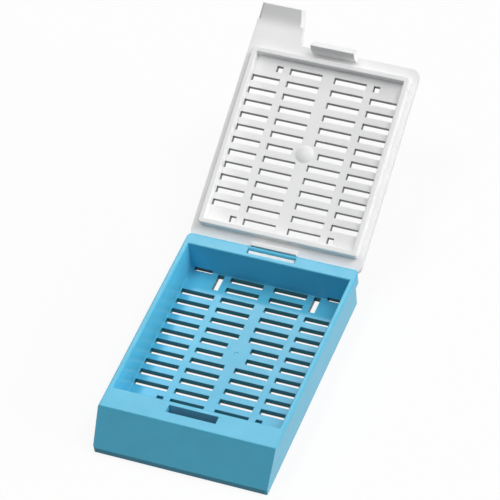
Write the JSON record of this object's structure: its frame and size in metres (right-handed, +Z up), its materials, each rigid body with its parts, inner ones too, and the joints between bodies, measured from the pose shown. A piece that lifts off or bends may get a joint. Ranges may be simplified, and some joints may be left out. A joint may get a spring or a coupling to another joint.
{
  "type": "tissue cassette",
  "caption": "Moulded histology cassette: slotted specimen well with a slanted writing face, and a slotted lid that hooks on its back bar, swings and latches at the front.",
  "frame": {"origin": "middle of the base's flat underside", "axes": "+Z up, -Y towards the slanted writing face, +Y towards the hinge and the open lid, +X to the right seen from the front"},
  "size_m": [0.0286, 0.0774, 0.0236],
  "materials": {
    "base_plastic": "light blue moulded plastic, satin",
    "lid_plastic": "white moulded plastic, satin"
  },
  "bodies": {
    "base": {"base": "base_plastic"},
    "lid": {"lid": "lid_plastic"}
  },
  "joints": [
    {"name": "lid_hinge", "type": "hinge", "parent": "base", "child": "lid", "pos_m": [0, 0.02022, 0.00595], "axis": [1, 0, 0], "range_deg": [0, 155]}
  ]
}
